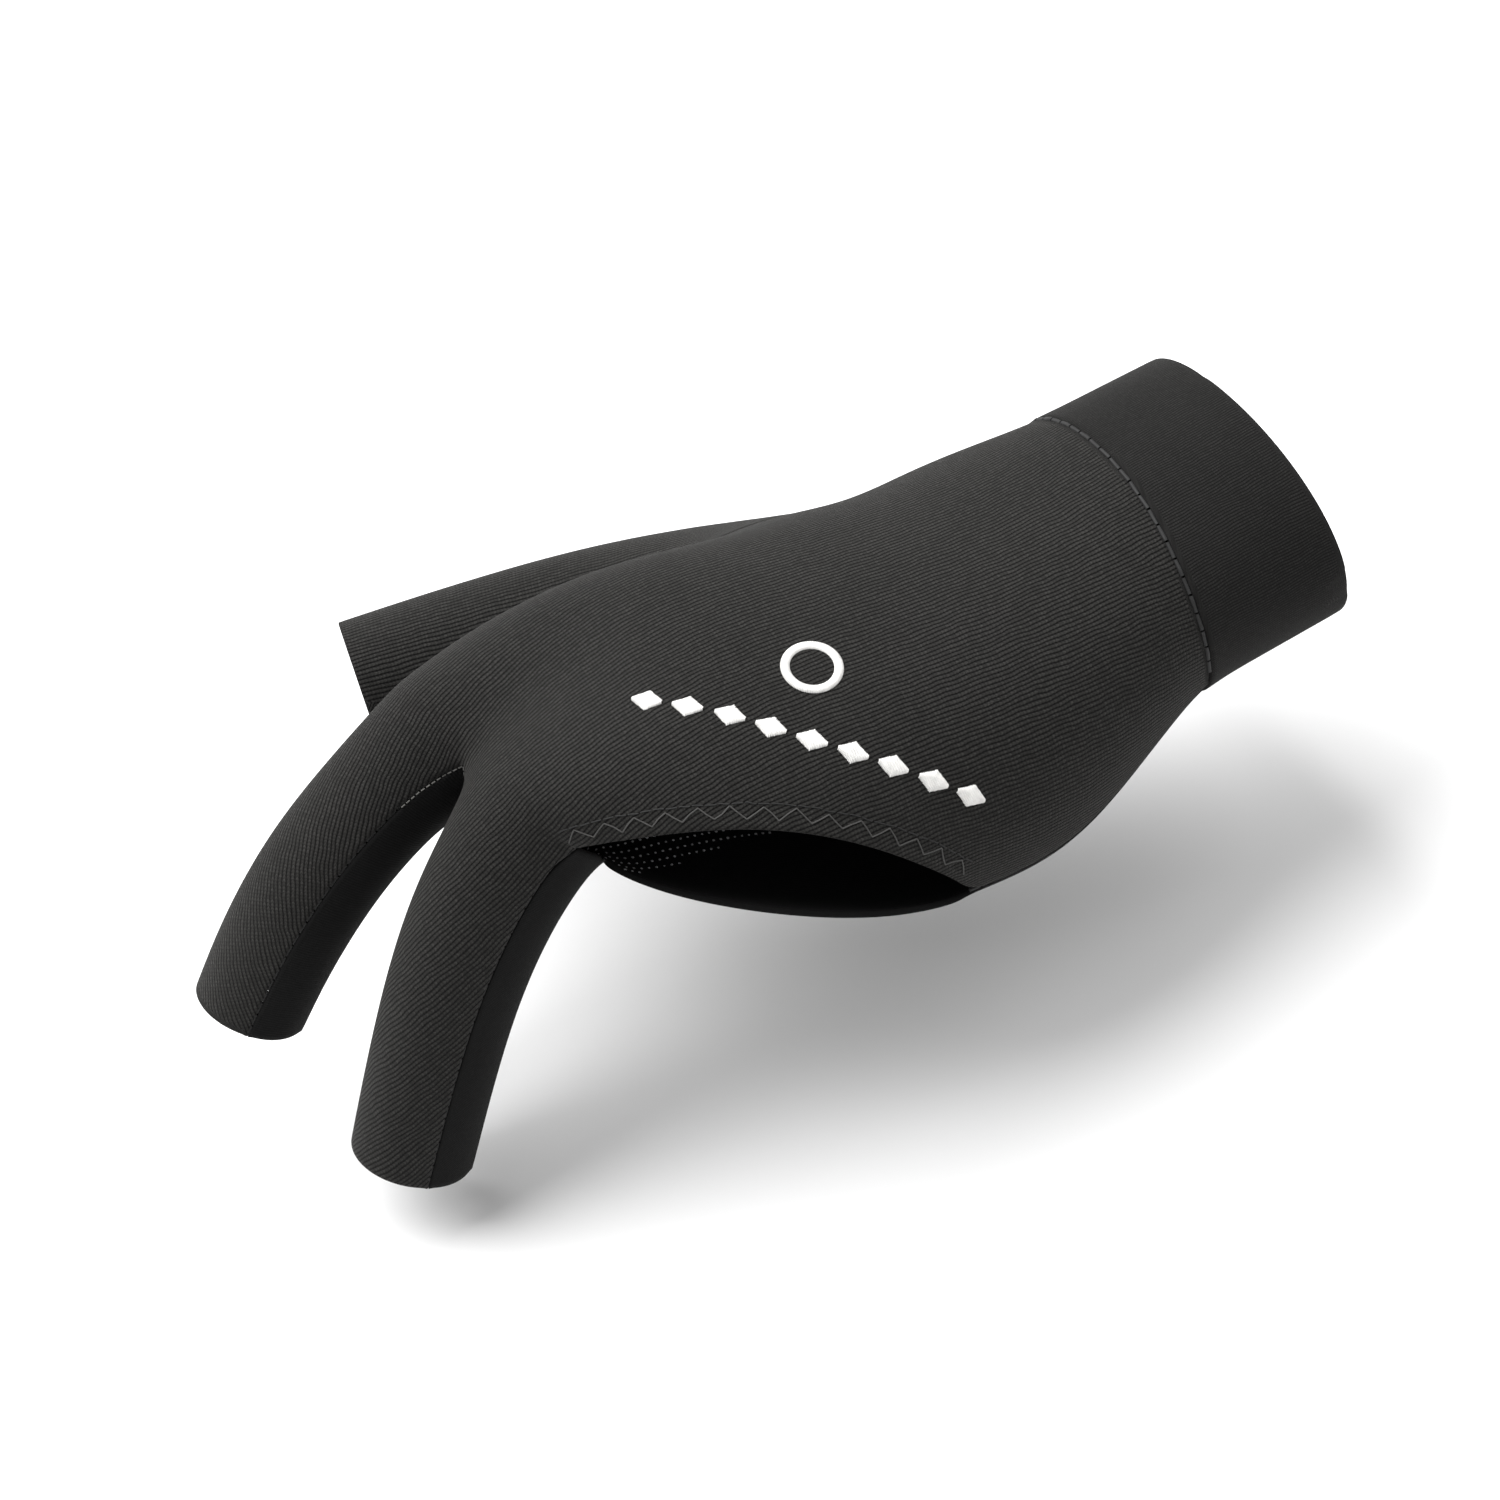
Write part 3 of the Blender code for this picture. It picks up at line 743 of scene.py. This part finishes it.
# %% Embroidery
# share of the stitch's length, height over the cloth in millimetres
SATIN_SWELL = ((0.0, -0.15), (0.1, 0.16), (0.35, 0.30), (0.65, 0.30), (0.9, 0.16), (1.0, -0.15))


def satin(node, centre, along, lines):
    """Threads on the cloth, each line given in the plane that touches it at the centre."""
    place, normal, _, _ = surface[node].find_nearest(centre)
    ahead = (along - normal * along.dot(normal)).normalized()
    side = normal.cross(ahead)
    strokes = []
    for start, end in lines:
        points = []
        for share, lift in SATIN_SWELL:
            a, b = (s + (e - s) * share for s, e in zip(start, end))
            points.append(on_cloth(node, place + ahead * a + side * b, lift * MM))
        strokes.append(points)
    return strokes


# points of the arc on the back of the hand, in millimetres
ARC = ((-113.0, -4.7, 28.3), (-102.3, -15.6, 26.9), (-93.6, -24.6, 22.9), (-82.0, -33.4, 15.0),
       (-71.2, -39.7, 4.7))
arc_points = resample([Vector(p) * MM for p in ARC], 0.25 * MM)
DIAMONDS, DIAMOND_LONG, DIAMOND_WIDE, THREAD_STEP = 9, 2.5 * MM, 1.9 * MM, 0.24 * MM
DIAMOND_BLUNT = 0.4 * MM
half_count = int(DIAMOND_LONG / THREAD_STEP)
strokes = []
for k in range(DIAMONDS):
    at = int((k + 0.5) / DIAMONDS * (len(arc_points) - 1))
    ahead = arc_points[min(at + 4, len(arc_points) - 1)] - arc_points[max(at - 4, 0)]
    lines = []
    for m in range(-half_count, half_count + 1):
        t = m * THREAD_STEP
        taper = 1.0 - abs(t) / (DIAMOND_LONG + DIAMOND_BLUNT)
        half = DIAMOND_WIDE * taper * random.uniform(0.95, 1.03)
        lines.append(((t, -half), (t, half)))
    strokes += satin("back_panel", arc_points[at], ahead, lines)

RING_CENTRE, RING_INSIDE, RING_OUTSIDE = Vector((-85.5, -14.8, 25.3)) * MM, 3.6 * MM, 5.0 * MM
RING_STEP = 0.27 * MM
ring_lines = []
ring_count = int(2.0 * math.pi * RING_OUTSIDE / RING_STEP)
for m in range(ring_count):
    angle = 2.0 * math.pi * m / ring_count
    cosine, sine = math.cos(angle), math.sin(angle)
    ring_lines.append(((RING_INSIDE * cosine, RING_INSIDE * sine),
                       (RING_OUTSIDE * cosine, RING_OUTSIDE * sine)))
strokes += satin("back_panel", RING_CENTRE, Vector((1.0, 0.0, 0.0)), ring_lines)
thread("embroidery", strokes, 0.14 * MM, white_thread)

# %% [markdown]
# ## Light, floor and camera
# The photograph has a white surround with soft light from above, behind and to the left, which
# brushes the top of the hand and leaves the near side dark. A second, weaker light from the
# right softens the shadow on the floor.

# %% Stage
CAMERA_AZIMUTH, CAMERA_ELEVATION, CAMERA_ROLL = -16.0, 45.0, 16.8
CAMERA_PLACE, FLOOR_HEIGHT = Vector((-0.26191, -0.58224, 0.60556)), -0.055


def area_light(name, place, target, size, power):
    """A round soft light that faces the target."""
    light = bpy.data.lights.new(name, "AREA")
    light.shape = "DISK"
    light.size = size
    light.energy = power
    lamp = link(name, light)
    lamp.location = place
    lamp.rotation_euler = (Vector(target) - Vector(place)).to_track_quat("-Z", "Y").to_euler()


def camera_axes():
    """The camera's right, up and back, from the angle that the photograph was taken at."""
    a, e, r = (math.radians(v) for v in (CAMERA_AZIMUTH, CAMERA_ELEVATION, CAMERA_ROLL))
    right = Vector((math.cos(a), math.sin(a), 0.0))
    back = Vector((math.sin(a) * math.cos(e), -math.cos(a) * math.cos(e), math.sin(e)))
    up = back.cross(right)
    return right * math.cos(r) - up * math.sin(r), right * math.sin(r) + up * math.cos(r), back


x_axis, y_axis, back_axis = camera_axes()
lens = bpy.data.cameras.new("photo_camera")
lens.lens = 126.5
lens.sensor_width = 36.0
camera = link("photo_camera", lens)
camera.matrix_world = Matrix((x_axis, y_axis, back_axis)).transposed().to_4x4()
camera.location = CAMERA_PLACE
bpy.context.scene.camera = camera

floor_mesh = bpy.data.meshes.new("floor")
bm = bmesh.new()
bmesh.ops.create_grid(bm, x_segments=1, y_segments=1, size=3.0)
bm.to_mesh(floor_mesh)
bm.free()
floor = link("floor", floor_mesh)
floor.location = (0.0, 0.0, FLOOR_HEIGHT)
floor_look, c, shader = new_look("floor")
c.put(shader.inputs["Base Color"], (0.80, 0.80, 0.80, 1.0))
c.put(shader.inputs["Roughness"], 0.9)
floor_mesh.materials.append(floor_look)

bpy.context.scene.view_settings.view_transform = "Standard"
world = bpy.data.worlds.new("studio")
world.use_nodes = True
world.node_tree.nodes["Background"].inputs["Color"].default_value = (1.0, 1.0, 1.0, 1.0)
world.node_tree.nodes["Background"].inputs["Strength"].default_value = 0.55
bpy.context.scene.world = world
middle = (-0.09, 0.0, 0.0)
area_light("back_left", (-0.38, 0.50, 1.00), middle, 1.3, 30.0)
area_light("right_fill", (0.9, -0.3, 0.9), middle, 1.0, 7.0)
print("Camera at", [round(v, 3) for v in camera.location])
